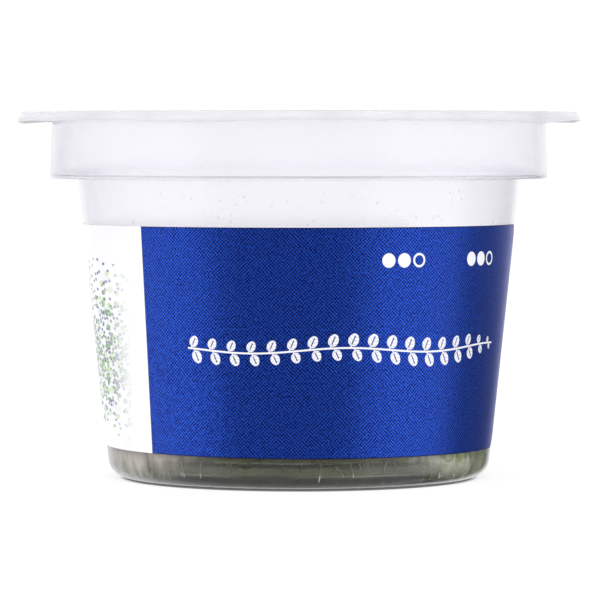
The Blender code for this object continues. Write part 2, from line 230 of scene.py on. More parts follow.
class GelSettings(bpy.types.PropertyGroup):
    """The culture gel"""

    surface: length("Gel height", "Height of the gel's surface", 0.0063)
    meniscus: length("Meniscus", "How far the gel climbs the wall", 0.0005)
    ior: number("Gel IOR", "Refraction of the gel", 1.34)
    absorbed: colour("Gel colour", "What is left of the light taken in", (0.50, 0.525, 0.435))
    density: number("Gel density", "Absorption for each metre of gel", 43.0)
    haze: colour("Gel haze", "The cloudy gel at the sides, where roots mat", (1.0, 0.90, 0.78))
    green_haze: colour("Green haze", "The same at the right, where leaves lie in it", (0.46, 0.60, 0.20))
    pale_bits: colour("Pale bits", "The paler bits between those leaves", (1.0, 1.0, 0.84))
    low_haze: colour("Lower haze", "The cloudy gel by the floor", (0.66, 0.67, 0.52))
    fringe: colour("Fringe", "Decayed leaves under the surface in front", (0.075, 0.085, 0.008))
    # a painted glint
    line: colour("Light line", "The glint along the floor's rounding", (0.86, 0.88, 0.84))


class PlantSettings(bpy.types.PropertyGroup):
    """The plantlets"""

    seed: whole("Seed", "Start of the random numbers", 11)
    stems: whole("Stems", "Stems of each plantlet", 30)
    leaf: length("Leaf", "Length of a full-grown leaf", 0.0041)
    spread: length("Spread", "How far a plantlet's stems stand from its middle", 0.0085)
    top: length("Carpet height", "Highest that a stem may grow", 0.0265)
    leaf_green: colour("Leaf green", "Grown leaves", (0.115, 0.32, 0.03))
    young_green: colour("Young green", "Leaves at the stems' tips", (0.30, 0.56, 0.075))
    stem_green: colour("Stem green", "Stems", (0.24, 0.42, 0.10))
    dead_brown: colour("Dead brown", "Old leaves sunk in the gel", (0.085, 0.066, 0.018))
    root_cream: colour("Root cream", "Roots", (0.95, 0.94, 0.66))
    root_brown: colour("Root brown", "Old roots", (0.20, 0.12, 0.05))
    matted_roots: whole("Matted roots", "Roots matted against the wall", 420)
    rim_leaves: whole("Sunken leaves", "Leaves sunk in the gel by the wall", 560)


class DropSettings(bpy.types.PropertyGroup):
    """Condensation inside the cup"""

    count: whole("Drops", "Drops on the wall", 1100)
    film_count: whole("Drops on the film", "Drops under the film", 160)
    least: length("Smallest drop", "Radius of the smallest drops", 0.00004)
    most: length("Largest drop", "Radius of the largest drops", 0.0002)
    seed: whole("Seed", "Start of the random numbers", 5)


class StageSettings(bpy.types.PropertyGroup):
    """Camera and light"""

    camera_distance: length("Camera distance", "From the cup's axis", 0.731)
    camera_height: length("Camera height", "Above the table", 0.0566)
    camera_side: length("Camera shift", "To the right of the cup's axis", 0.0002)
    camera_pitch: angle("Camera pitch", "How far the camera looks down", math.radians(2.10))
    lens: number("Lens", "Focal length in millimetres on a 36 mm frame", 258.5)
    room_light: number("Room light", "Radiance of the white surroundings", 1.04)
    box_light: number("Soft box light", "Radiance of the two soft boxes", 1.3)
    front_light: number("Front light", "Radiance of the studio behind the camera, in reflections", 0.35)
    side_light: number("Side light", "Radiance of the studio's sides, in reflections", 1.0)
    flag_light: number("Flag light", "Radiance of the low dark flag on the right, in reflections", 0.08)
    key_light: number("Key light", "Radiance of the light above the front", 1.5)


GROUPS = {"cup": CupSettings, "film": FilmSettings, "label": LabelSettings, "gel": GelSettings,
          "plant": PlantSettings, "drops": DropSettings, "stage": StageSettings}


class CarpetCupSettings(bpy.types.PropertyGroup):
    """All settings, one group for each operator"""

    __annotations__ = {name: PointerProperty(type=group, name=name.capitalize(), description=group.__doc__)
                       for name, group in GROUPS.items()}


def settings(name):
    """One group of this add-on's settings."""
    return getattr(bpy.context.scene.carpet_cup, name)


def wall_radius(height, inset=0.0):
    """Radius of the tapered wall at a height, the given distance inside its outer face."""
    return settings("cup").foot_radius + WALL_TAPER * height - inset * math.hypot(1.0, WALL_TAPER)


def round_place(angles, radius, height):
    """Points at angles round the cup from its front: (radius sin a, -radius cos a, height)."""
    return np.stack(np.broadcast_arrays(radius * np.sin(angles), -radius * np.cos(angles), height), axis=-1)


def unit(vectors):
    """The vectors, each divided by its length."""
    return vectors / np.linalg.norm(vectors, axis=-1, keepdims=True)


def rounded_path(corners):
    """A section as an array of points, from corners of (radius, height, rounding).

    A rounding of radius q in a corner of half angle h is an arc that touches both sides at q / tan(h) from
    the corner, about a centre at q / sin(h) along the corner's bisector.
    """
    points = [np.array(corners[0][:2])]
    for before, corner, after in zip(corners, corners[1:], corners[2:]):
        here, rounding = np.array(corner[:2]), corner[2]
        back, on = unit(np.array(before[:2]) - here), unit(np.array(after[:2]) - here)
        half = 0.5 * math.acos(float(np.clip(back @ on, -1.0, 1.0)))
        reach = rounding / math.tan(half)
        centre = here + unit(back + on) * rounding / math.sin(half)
        first, last = here + back * reach - centre, here + on * reach - centre
        start = math.atan2(first[1], first[0])
        sweep = (math.atan2(last[1], last[0]) - start + math.pi) % TURN - math.pi
        arc = start + sweep * np.linspace(0.0, 1.0, CORNER_STEPS + 1)
        points.append(here + back * (reach + CORNER_HOLD))
        points.extend(centre + rounding * np.stack([np.cos(arc), np.sin(arc)], axis=1))
        points.append(here + on * (reach + CORNER_HOLD))
    points.append(np.array(corners[-1][:2]))
    return np.array(points)


def grid_faces(rows, columns, wrap=False):
    """Quads of a grid of points, whose columns close into a ring when wrap is set."""
    column = np.arange(columns if wrap else columns - 1)
    after = (column + 1) % columns
    low = np.arange(rows - 1)[:, None] * columns
    high = low + columns
    corners = np.broadcast_arrays(low + column, low + after, high + after, high + column)
    return np.stack(corners, axis=-1).reshape(-1, 4)


def closed_rings(rings, first, last):
    """A closed body through rings of points (rings, steps, 3): each end is a fan of triangles to a point."""
    count, steps, _ = rings.shape
    ring = np.arange(steps)
    after, top, end = (ring + 1) % steps, (count - 1) * steps, count * steps
    fans = [np.stack([np.full(steps, end), after, ring], axis=1),
            np.stack([np.full(steps, end + 1), top + ring, top + after], axis=1)]
    return (np.concatenate([rings.reshape(-1, 3), [first, last]]),
            [grid_faces(count, steps, wrap=True), np.concatenate(fans)])


def turned(radius, height):
    """A closed body turned about Z, from (rings, steps) arrays of radius and height.

    The first and last rings shrink to a point on the axis.
    """
    radius, height = np.broadcast_arrays(radius, height)
    angles = np.arange(radius.shape[1]) * TURN / radius.shape[1]
    first, last = ((0.0, 0.0, height[end].mean()) for end in (0, -1))
    return closed_rings(round_place(angles, radius[1:-1], height[1:-1]), first, last)


def signed_volume(points, faces):
    """Volume inside the faces, a sum over their triangles: negative where they face inwards."""
    total = 0.0
    for group in faces:
        for i in range(1, group.shape[1] - 1):
            a, b, c = points[group[:, 0]], points[group[:, i]], points[group[:, i + 1]]
            total += float((a * np.cross(b, c)).sum()) / 6.0
    return total


def joined(parts):
    """One set of points and faces from several of them."""
    points, faces, start = [], [], 0
    for some_points, some_faces in parts:
        points.append(some_points)
        faces.extend(group + start for group in some_faces)
        start += len(some_points)
    return np.concatenate(points), faces


def add_piece(name, points, faces, finishes, finish_of_face=None, nodes=()):
    """A piece of the object from arrays of points and faces, riding on the packed body."""
    if signed_volume(points, faces) < 0.0:
        faces = [group[:, ::-1] for group in faces]
    mesh = bpy.data.meshes.new(name)
    corners = np.concatenate([group.ravel() for group in faces]).astype(np.int32)
    sizes = np.concatenate([np.full(len(group), group.shape[1]) for group in faces])
    mesh.vertices.add(len(points))
    mesh.vertices.foreach_set("co", np.ascontiguousarray(points, np.float32).ravel())
    mesh.loops.add(len(corners))
    mesh.loops.foreach_set("vertex_index", corners)
    mesh.polygons.add(len(sizes))
    mesh.polygons.foreach_set("loop_start", (np.cumsum(sizes) - sizes).astype(np.int32))
    mesh.update(calc_edges=True)
    if mesh.validate():
        raise ValueError(f"{name} has faces that had to be mended")
    for finish in finishes:
        mesh.materials.append(finish)
    if finish_of_face is not None:
        mesh.polygons.foreach_set("material_index", finish_of_face.astype(np.int32))
    mesh.shade_smooth()
    piece = bpy.data.objects.new(name, mesh)
    bpy.context.scene.collection.objects.link(piece)
    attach(piece, BODY)
    if nodes:
        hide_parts(*nodes)
    return piece


def add_attribute(piece, name, values, kind="FLOAT_VECTOR"):
    """A value for each point of a piece, which its finish can read."""
    field = "vector" if kind == "FLOAT_VECTOR" else "value"
    attribute = piece.data.attributes.new(name, kind, "POINT")
    attribute.data.foreach_set(field, np.ascontiguousarray(values, np.float32).ravel())


def math_step(operation):
    """A way to work on terms with one Math node."""
    return lambda self, *others: self.worked(operation, *others)


class Term:
    """A number that shader nodes work out, so that a pattern is written as a formula."""

    def __init__(self, socket):
        self.socket = socket

    def worked(self, operation, *others, clamp=False):
        """The result of one Math node."""
        node = add_node(self.socket, "ShaderNodeMath", {"operation": operation, "use_clamp": clamp})
        for entry, value in zip(node.inputs, (self, *others)):
            put(entry, value)
        return Term(node.outputs[0])

    __add__ = __radd__ = math_step("ADD")
    __sub__ = math_step("SUBTRACT")
    __mul__ = __rmul__ = math_step("MULTIPLY")
    __truediv__ = math_step("DIVIDE")
    __abs__ = math_step("ABSOLUTE")
    sine = math_step("SINE")
    root = math_step("SQRT")
    part = math_step("FRACT")  # what is left after the whole part
    or_more = math_step("MAXIMUM")  # the larger of two
    or_less = math_step("MINIMUM")

    def __rsub__(self, other):
        return self.worked("MULTIPLY_ADD", -1.0, other)

    def clamped(self, more=0.0):
        """The number and some more, kept between nothing and one."""
        return self.worked("ADD", more, clamp=True)

    def under(self, edge, soft):
        """One where the number is under the edge and nothing over it, with a soft step between."""
        return ((edge - self) / soft).clamped(0.5)


def put(entry, value):
    """Gives a node's input a number, a colour, a term or another node's output."""
    value = value.socket if isinstance(value, Term) else value
    if isinstance(value, bpy.types.NodeSocket):
        entry.id_data.links.new(value, entry)
    else:
        entry.default_value = (*value[:3], 1.0) if entry.type == "RGBA" else value


def feed(node, **inputs):
    """Sets a node's inputs: underscores in a name stand for spaces."""
    for name, value in inputs.items():
        put(node.inputs[name.replace("_", " ")], value)


def add_node(near, kind, options=None, **inputs):
    """A shader node in the tree of another node or socket, with its options and inputs set."""
    node = near.id_data.nodes.new(kind)
    for name, value in (options or {}).items():
        setattr(node, name, value)
    feed(node, **inputs)
    return node


def new_finish(name, **inputs):
    """A material with one Principled shader, and that shader."""
    finish = bpy.data.materials.new(name)
    finish.use_nodes = True
    shader = finish.node_tree.nodes["Principled BSDF"]
    feed(shader, **inputs)
    return finish, shader


def own_place(shader):
    """Where on the object the surface lies."""
    return add_node(shader, "ShaderNodeTexCoord").outputs["Object"]


def stored(shader, name, output="Vector"):
    """What an attribute of the piece holds."""
    return add_node(shader, "ShaderNodeAttribute", {"attribute_name": name}).outputs[output]


def split(vector):
    """The three numbers of a vector."""
    return [Term(part) for part in add_node(vector, "ShaderNodeSeparateXYZ", Vector=vector).outputs]


def mixed(amount, first, second):
    """A colour between two others."""
    node = add_node(amount.socket, "ShaderNodeMix", {"data_type": "RGBA"})
    for entry, value in ((0, amount), (6, first), (7, second)):
        put(node.inputs[entry], value)
    return node.outputs[2]


def noise(place, scale, detail=2.0, distortion=0.0):
    """Noise over a place, or over the object that a shader is on, its scale in waves a metre."""
    if isinstance(place, bpy.types.Node):
        place = own_place(place)
    return Term(add_node(place, "ShaderNodeTexNoise", Vector=place, Scale=scale, Detail=detail,
                         Distortion=distortion).outputs["Fac"])


def bump(shader, height, distance):
    """Gives a shader small relief from a height between nothing and one."""
    node = add_node(shader, "ShaderNodeBump", Strength=1.0, Distance=distance, Height=height)
    feed(shader, Normal=node.outputs["Normal"])


def absorb(shader, colour_left, density):
    """Lets the inside of a clear piece take in light."""
    absorbing = add_node(shader, "ShaderNodeVolumeAbsorption", Color=colour_left, Density=density)
    feed(shader.id_data.nodes["Material Output"], Volume=absorbing.outputs[0])


def plastic_finish():
    """Clear plastic: colourless but for a faint lilac, with the slight haze and unevenness of a moulding."""
    cup = settings("cup")
    finish, shader = new_finish("clear_plastic", Base_Color=cup.tint, Roughness=cup.roughness, IOR=cup.ior,
                                Transmission_Weight=1.0)
    absorb(shader, cup.absorbed, cup.density)
    bump(shader, noise(shader, 90.0, 1.0), 0.05 * MM)
    return finish


def film_finish():
    """Sealing film: clearer than paper and hazier than glass, milky where its brim was stretched, with
    painted shade in the brim's creases.
    """
    film = settings("film")
    finish, shader = new_finish("sealing_film", IOR=film.ior, Subsurface_Weight=0.5,
                                Subsurface_Radius=(1.0, 1.0, 1.0), Subsurface_Scale=1.0 * MM)
    x, y, _ = split(own_place(shader))
    flat = (x * x + y * y).root().under(SEAL_RADIUS[1], 0.8 * MM)
    feed(shader, Base_Color=mixed(Term(stored(shader, "crease", "Fac")), film.tint, film.crease),
         Transmission_Weight=flat * (film.clear - film.brim_clear) + film.brim_clear,
         Roughness=noise(shader, 260.0, 3.0) * 0.1 + (film.roughness - flat * 0.09))
    bump(shader, noise(shader, 300.0, 2.0, 0.6), 0.012 * MM)
    return finish


def gel_finish():
    """Culture gel: it bends light as water does and takes in a little of every colour.

    It is cloudy at the sides of the cup, most of all under its surface, in patches and upright streaks, and
    brown from decayed leaves under its surface in front. A pale line low in front is a painted glint.
    """
    gel = settings("gel")
    finish, shader = new_finish("culture_gel", Roughness=0.02, IOR=gel.ior)
    place = own_place(shader)
    x, _, z = split(place)
    risen = ((z - 1.2 * MM) / (4.4 * MM)).clamped()
    out = ((abs(x) - 18.0 * MM + risen * risen * (5.0 * MM)) / (9.0 * MM)).clamped()
    upright = add_node(shader, "ShaderNodeMapping", Vector=place, Scale=(1.0, 1.0, 0.25)).outputs[0]
    patches = noise(upright, 420.0, 3.0) * 3.2 - 0.5
    bits = (noise(shader, 380.0, 2.0, 0.8) * 8.0 - 3.6).clamped()
    fringe = ((z - 4.0 * MM) / (0.9 * MM)).clamped() * (1.0 - out)
    # A painted glint: a pale line painted along the floor's rounding, in front, where the plastic shines
    glint = noise(shader, 40.0, 1.0) * 3.0 - 1.0
    line = (abs(z - 2.2 * MM).under(0.05 * MM, 0.05 * MM) * (1.0 - out) * glint).clamped()
    limb = 1.0 - ((abs(x) - 28.0 * MM) / (4.0 * MM)).clamped() * 0.8
    haze = out * limb * (risen * 0.7 + 0.5) * patches + fringe * patches * 1.1
    right = (x / (30.0 * MM)).clamped(0.5)
    sides = mixed(right, gel.haze, mixed(bits, gel.green_haze, gel.pale_bits))
    tone = mixed(risen, gel.low_haze, mixed(out, gel.fringe, sides))
    feed(shader, Transmission_Weight=1.0 - haze.or_more(line).clamped(),
         Base_Color=mixed(line, tone, gel.line))
    absorb(shader, gel.absorbed, gel.density)
    return finish


def water_finish():
    """Drops of condensed water."""
    return new_finish("water", Base_Color=WHITE, Roughness=0.0, IOR=1.333, Transmission_Weight=1.0)[0]


def raster(place, across, up, pitch):
    """The printed raster, from nothing to one: two sets of fine lines, crossed at 45 degrees.

    Each set is a sine of the distance along its diagonal, pushed about by noise of a few rows' size. Slower
    noise lets now one set and now the other show more, and finer noise spoils them as grain does.
    """
    wave = TURN / (pitch * math.sqrt(2.0))
    first = ((across + up) * wave + noise(place, 0.35 / pitch, 1.0) * 5.0).sine()
    second = ((across - up) * wave + noise(place, 0.29 / pitch, 1.0, 0.8) * 5.0).sine()
    lead = (noise(place, 0.10 / pitch, 1.0) * 2.4 - 0.7).clamped()
    grain = noise(place, 1.0 / pitch, 0.0) - 0.5
    crossed = first * (lead * 0.4 + 0.6) + second * (lead * -0.4 + 1.0)
    return (crossed * 1.6 + grain * 3.4 + 0.45).clamped()


def scale_dots(across, up, first):
    """A row of three dots, the last one an open ring, as white on nothing.

    The place along the row is cut into cells a pitch wide, and a dot is where the distance to its cell's
    middle is under its radius.
    """
    radius, soft = settings("label").dot_radius, 0.08 * MM
    pitch = radius * 2.4
    cells = (across - first) / pitch + 0.5
    sideways = (cells.part() - 0.5) * pitch
    rise = up - SCALE_HEIGHT
    distance = (sideways * sideways + rise * rise).root()
    hole = distance.under(radius - 0.36 * MM, soft) * (2.0 - cells).under(0.0, 0.01)
    inside = (0.0 - cells).under(0.0, 0.01) * cells.under(3.0, 0.01)
    return (distance.under(radius, soft) - hole) * inside


def leafy_sprig(across, up, start, end, row):
    """A creeping stem with pairs of round leaves, drawn in white along a row.

    The stem is where the height is close to a slow wave. The row is cut into cells, each with a leaf above
    the stem and one below, of its own size. A leaf is an ellipse that leans forward, a little slimmer at its
    tip, with its middle vein and side veins left open, and the leaves shrink towards the sprig's tip.
    """
    pitch, soft, lean = 3.35 * MM, 0.09 * MM, math.radians(24.0)
    rise = up - (row + (across * (TURN / (31.0 * MM))).sine() * (0.45 * MM))
    side_of_stem = rise.worked("SIGN")
    cells = (across - start) / pitch + side_of_stem * 0.09
    chance = ((cells - cells.part()) * 12.99 + side_of_stem * 3.7).sine()
    size = ((end - across) / (15.0 * MM) + 0.42).or_less(1.0).or_more(0.05) * (chance * 0.1 + 0.95)
    sideways = (cells.part() - 0.42) * pitch / size
    out = (abs(rise) - size * (1.32 * MM)) / size
    along = sideways * math.sin(lean) + out * math.cos(lean)
    aside = sideways * math.cos(lean) - out * math.sin(lean)
    slim = aside * (along * 0.14 / MM + 1.12)
    blade = (slim * slim * 1.2 + along * along).root().under(1.05 * MM, soft)
    near_vein = abs(aside).under(0.10 * MM, soft)
    side_veins = abs(((along + abs(aside) * -0.7) / (0.62 * MM)).part() - 0.5).under(0.09, 0.12) * 0.45
    veins = (near_vein * along.under(0.7 * MM, soft)).or_more(side_veins)
    stalk = near_vein * abs(rise).under(0.6 * MM, soft)
    drawn = (blade * (1.0 - veins)).or_more(abs(rise).under(0.15 * MM, soft)).or_more(stalk)
    return drawn * ((start - across).under(0.0, 0.01 * MM) * across.under(end, 0.01 * MM))


def leaf_drift(across, up):
    """A drift of round leaves on the white panel: how much ink, and its colour.

    Each layer is a random mosaic, and its leaves are ellipses round the cells' points. A leaf is kept by
    chance, most often along a slow wave round the cup, so that they thin out above and below it. Under
    them lies a faint wash of upright strokes.
    """
    flat = add_node(across.socket, "ShaderNodeCombineXYZ", X=across, Y=up).outputs[0]
    crest = (across * (TURN / (46.0 * MM)) + 1.0).sine() * (4.5 * MM) + 16.5 * MM
    likely = 1.0 - (up - crest).or_more((crest - up) * 1.5) / (19.0 * MM)
    fade = ((-31.5 * MM - across) / (9.0 * MM)).clamped()

    strokes = add_node(flat, "ShaderNodeMapping", Vector=flat, Scale=(900.0, 70.0, 1.0)).outputs[0]
    wash = noise(strokes, 1.0).worked("SUBTRACT", 0.5, clamp=True) * likely
    ink, tone = wash.worked("MULTIPLY", 2.4, clamp=True), (0.36, 0.45, 0.56)
    for size, turn, kept, reach, strength, tones in DRIFT_LAYERS:
        moved = add_node(flat, "ShaderNodeMapping", Vector=flat, Location=(turn, turn, 0.0),
                         Rotation=(0.0, 0.0, turn), Scale=(0.74, 1.35, 1.0)).outputs[0]
        cells = add_node(flat, "ShaderNodeTexVoronoi", {"voronoi_dimensions": "2D"}, Vector=moved,
                         Scale=1.0 / (size * MM), Randomness=0.95)
        shade, chance, _ = split(cells.outputs["Color"])
        leaves = Term(cells.outputs["Distance"]).under(reach, 0.10)
        drawn = leaves * (chance - likely * kept).under(0.0, 0.02)
        greens = add_node(flat, "ShaderNodeValToRGB", Fac=shade)
        ramp = greens.color_ramp
        ramp.interpolation = "CONSTANT"
        while len(ramp.elements) < len(tones):
            ramp.elements.new(0.5)
        for i, element in enumerate(ramp.elements):
            element.position, element.color = i / len(tones), (*tones[i], 1.0)
        tone = mixed(drawn, tone, greens.outputs[0])
        ink = ink.or_more(drawn * strength)
    return ink * fade, tone


def label_finish():
    """Printed film: blue raster in front with white marks, and white with a drift of leaves at the side. A
    dark ink line runs beside the blue's border with the white, and painted shade runs along the cut edges.
    """
    label = settings("label")
    finish, shader = new_finish("printed_label", IOR=1.5)
    place = stored(shader, PRINT_PLACE)
    across, up, to_edge = split(place)
    border = up * BORDER[0] + BORDER[1]
    blue = (border - across).under(0.0, INK_EDGE)
    beside_border = abs(across - border).under(0.14 * MM, 0.1 * MM) * 0.5
    # the dark line along the label's cut edges is painted shade, and the one beside the blue's border is ink
    edge = beside_border.or_more(to_edge.under(0.14 * MM, 0.12 * MM) * 0.9)
    marks = leafy_sprig(across, up, *SPRIG)
    for first in SCALES:
        marks = marks.or_more(scale_dots(across, up, first))
    inked = mixed(raster(place, across, up, label.raster), label.deep_blue, label.bright_blue)
    front = mixed(marks, mixed(edge, inked, label.border_ink_and_edge_shade), label.white)
    ink, tone = leaf_drift(across, up)
    feed(shader, Base_Color=mixed(blue, mixed(ink, label.white, tone), front),
         Metallic=blue * (1.0 - marks) * label.metallic,
         Roughness=noise(place, 1.0 / (2.0 * MM)) * 0.08 + 0.285)
    bump(shader, noise(place, 1.0 / (4.0 * MM)), 0.012 * MM)
    return finish


def backing_finish():
    """The label's glued side: white film that light from outside shines through.

    It is duller where the blue is printed on its other side.
    """
    label = settings("label")
    finish, shader = new_finish("label_backing", Roughness=0.5, Subsurface_Weight=1.0,
                                Subsurface_Radius=(1.0, 1.0, 1.0), Subsurface_Scale=3.0 * MM)
    across, up, _ = split(stored(shader, PRINT_PLACE))
    blue = (up * BORDER[0] + BORDER[1] - across).under(0.0, INK_EDGE)
    feed(shader, Base_Color=mixed(blue, label.backing, label.back_of_blue))
    bump(shader, noise(shader, 900.0), 0.01 * MM)
    return finish


def leaf_finish():
    """Leaves: deep to yellow green by age and brown when dead, paler along the vein and the rim."""
    plant = settings("plant")
    finish, shader = new_finish("leaf", Roughness=0.42, Subsurface_Weight=0.35,
                                Subsurface_Radius=(0.35, 1.0, 0.15), Subsurface_Scale=0.6 * MM)
    out, side, age = split(stored(shader, "leaf_place"))
    mottle = noise(shader, 900.0, 3.0) - 0.5
    green = mixed((1.0 - age + mottle * 0.35).clamped(), plant.leaf_green, plant.young_green)
    dead = (age + mottle * 0.5).worked("SUBTRACT", 1.0, clamp=True)
    vein = abs(side).under(0.05, 0.09) * 0.35
    rim = (1.0 - (side * side + (out - 0.5) * (out - 0.5) * 4.0).root()).under(0.05, 0.10) * 0.3
    pale = tuple(0.5 * value + 0.2 for value in plant.young_green)
    feed(shader, Base_Color=mixed(vein.or_more(rim), mixed(dead, green, plant.dead_brown), pale))
    bump(shader, noise(shader, 2600.0) - vein, 0.04 * MM)
    return finish


def stem_finish(name, base, paler):
    """Stems and roots: streaked by noise."""
    finish, shader = new_finish(name, Roughness=0.45, Subsurface_Weight=0.15,
                                Subsurface_Radius=(0.6, 0.8, 0.4), Subsurface_Scale=0.4 * MM)
    feed(shader, Base_Color=mixed(noise(shader, 700.0, 3.0).clamped(), base, paler))
    return finish


class CARPET_CUP_OT_cup(bpy.types.Operator):
    """Makes the clear cup, turned from one closed section"""

    bl_idname = "carpet_cup.cup"
    bl_label = "Cup"

    def execute(self, context):
        cup = settings("cup")
        section = rounded_path((
            (0.0, 0.0, 0.0),
            (wall_radius(0.0), 0.0, BASE_FILLET),
            (wall_radius(SHOULDER_UNDERSIDE), SHOULDER_UNDERSIDE, EDGE_ROUNDING),
            (cup.collar_low_radius, SHOULDER_UNDERSIDE, OUTER_ROUNDING),
            (cup.collar_high_radius, FLANGE_UNDERSIDE, EDGE_ROUNDING),
            (cup.flange_radius, FLANGE_UNDERSIDE, EDGE_ROUNDING),
            (cup.flange_radius, FLANGE_TOP, EDGE_ROUNDING),
            (cup.collar_inner_radius, FLANGE_TOP, EDGE_ROUNDING),
            (cup.collar_inner_radius, LEDGE, COLLAR_INNER_ROUNDING),
            (wall_radius(LEDGE, cup.wall), LEDGE, EDGE_ROUNDING),
            (wall_radius(FLOOR, cup.wall), FLOOR, BASE_FILLET - cup.wall),
            (0.0, FLOOR, 0.0),
        ))
        points, faces = turned(np.repeat(section[:, :1], ROUND_STEPS, axis=1), section[:, 1:])
        add_piece("clear_cup", points, faces, [plastic_finish()], nodes=["cup"])
        return {"FINISHED"}


def crease_push(angles):
    """How far the brim is pushed in at each angle: a sum of smooth humps, one for each crease."""
    push = np.zeros_like(angles)
    for middle, half_width, depth in CREASES:
        away = (np.degrees(angles) - middle + 180.0) % 360.0 - 180.0
        push += depth * MM * np.exp(-((away / half_width) ** 2) * 2.0)
    return push


class CARPET_CUP_OT_film(bpy.types.Operator):
    """Makes the sealing film: a slack disc, pressed flat on the flange, with a creased and drooping brim"""

    bl_idname = "carpet_cup.film"
    bl_label = "Sealing film"

    def execute(self, context):
        film = settings("film")
        steps = ROUND_STEPS * 2
        angles = np.arange(steps) * TURN / steps
        bend = film.radius - BRIM_FLARE - BRIM_BEND
        slack_rings, seal_rings, bend_rings, brim_rings = FILM_RINGS
        flat = np.append(np.linspace(0.0, SEAL_RADIUS[0], slack_rings),
                         np.linspace(SEAL_RADIUS[0], bend, seal_rings)[1:])
        # The brim turns down over a quarter circle and flares outwards, the less the lower
        turn = np.linspace(0.0, math.pi / 2, bend_rings)[1:]
        drop = np.append(np.linspace(0.0, 1.0, brim_rings)[1:-1], (0.97, 1.0))
        radius = np.concatenate([flat, bend + BRIM_BEND * np.sin(turn),
                                 bend + BRIM_BEND + BRIM_FLARE * np.sin(BRIM_CURL * drop)])[:, None]
        fall = np.concatenate([np.zeros(len(flat)), BRIM_BEND * (1.0 - np.cos(turn)),
                               BRIM_BEND + (BRIM_DROP - BRIM_BEND) * drop])[:, None]
        brim = np.clip((radius - bend) / (film.radius - bend), 0.0, 1.0)
        down = np.clip(fall / BRIM_DROP, 0.0, 1.0)

        push = crease_push(angles)
        wave = 0.5 * (np.sin(5 * angles + 0.4) + np.sin(9 * angles + 1.7))
        slack = np.clip(1.0 - radius / SEAL_RADIUS[0], 0.0, 1.0) ** 0.5
        ripple = np.sin(radius * 410.0 + 2.2 * np.sin(3 * angles)) * np.sin(2 * angles + radius * 90.0)
        ripple += 0.5 * np.sin(radius * 820.0 * np.cos(angles - 0.7) + radius * 300.0 * np.sin(angles))
        sealed = (radius > SEAL_RADIUS[0]) & (radius < SEAL_RADIUS[1])
        outer_radius = radius - brim * push
        outer_height = film.top - fall + brim * (wave * BRIM_WAVE - push * 0.35)
        outer_height -= film.ripple * (1.0 - slack * ripple) * 0.5 + sealed * SEAL_DEPTH
        # The lower face runs back inside the upper one, a film's thickness away, and thins out down the brim
        steep = np.arctan2(np.gradient(fall, axis=0), np.gradient(radius, axis=0))
        thickness = film.thickness * (1.0 - 0.7 * down**3)
        inner_radius = np.maximum(outer_radius - thickness * np.sin(steep), 0.0)
        inner_height = outer_height - thickness * np.cos(steep)
        points, faces = turned(np.concatenate([outer_radius, inner_radius[::-1]]),
                               np.concatenate([outer_height, inner_height[::-1]]))
        piece = add_piece("lid_film", points, faces, [film_finish()],
                          nodes=["sealing_film"])
        # painted shade: the film's colour darkens midway down the brim, where it is pushed in by the creases
        painted_crease_shade = push / push.max() * 4.0 * down * (1.0 - down)
        painted_crease_shade = np.concatenate([painted_crease_shade, painted_crease_shade[::-1]])[1:-1]
        add_attribute(piece, "crease", np.append(painted_crease_shade, (0.0, 0.0)), "FLOAT")
        return {"FINISHED"}


class CARPET_CUP_OT_label(bpy.types.Operator):
    """Makes the label: a thin sheet on the cone of the wall, with rounded corners"""

    bl_idname = "carpet_cup.label"
    bl_label = "Label"

    def execute(self, context):
        label = settings("label")
        corner_turn = label.corner / wall_radius(label.high)
        quarter = np.linspace(0.0, math.pi / 2, 13)
        # Within a corner a column stands at r (1 - cos q) from the end, and steps in by r (1 - sin q)
        near = (1.0 - np.cos(quarter)) * corner_turn
        step_in = (1.0 - np.sin(quarter)) * label.corner
        straight = label.left_end + corner_turn, label.right_end - corner_turn
        middle = np.linspace(*straight, LABEL_COLUMNS)[1:-1]
        angles = np.concatenate([label.left_end + near, middle, (label.right_end - near)[::-1]])
        inset = np.concatenate([step_in, np.zeros(len(middle)), step_in[::-1]])
        # A row close to each long edge keeps the sheet's shading flat
        middle_rows = np.linspace(0.0, 1.0, LABEL_ROWS - 2)[1:-1]
        rise = np.concatenate([[0.0, 0.002], middle_rows, [0.998, 1.0]])[:, None]
        # The foot stands a little askew, as on a tilted plane through its front point
        foot = label.low + inset + LABEL_SKEW * (1.0 - np.sin(angles) - np.cos(angles)).clip(0.0)
        height = foot + rise * (label.high - inset - foot)
        to_end = np.minimum(angles - label.left_end, label.right_end - angles) * wall_radius(height)
        to_edge = np.minimum(np.minimum(height - foot, label.high - inset - height), to_end)
        points = [round_place(angles, wall_radius(height, -out), height).reshape(-1, 3)
                  for out in (LABEL_GAP, LABEL_GAP + LABEL_THICKNESS)]

        columns, one_side = len(angles), height.size
        sheet = grid_faces(LABEL_ROWS, columns)
        # The border in order round the sheet, which the cut edge follows
        low, left = np.arange(columns), np.arange(LABEL_ROWS) * columns
        high, right = low + one_side - columns, left + columns - 1
        border = np.concatenate([low[:-1], right[:-1], high[:0:-1], left[:0:-1]])
        after = np.roll(border, -1)
        edge = np.stack([after, border, border + one_side, after + one_side], axis=1)
        faces = np.concatenate([sheet + one_side, sheet[:, ::-1], edge])
        kinds = np.repeat((0, 1, 0), (len(sheet), len(sheet), len(edge)))
        piece = add_piece("wrap_label", np.concatenate(points), [faces], [label_finish(), backing_finish()],
                          kinds, nodes=["label"])
        place = np.stack([angles * wall_radius(height), height, to_edge], axis=-1).reshape(-1, 3)
        add_attribute(piece, PRINT_PLACE, np.concatenate([place, place]))
        return {"FINISHED"}


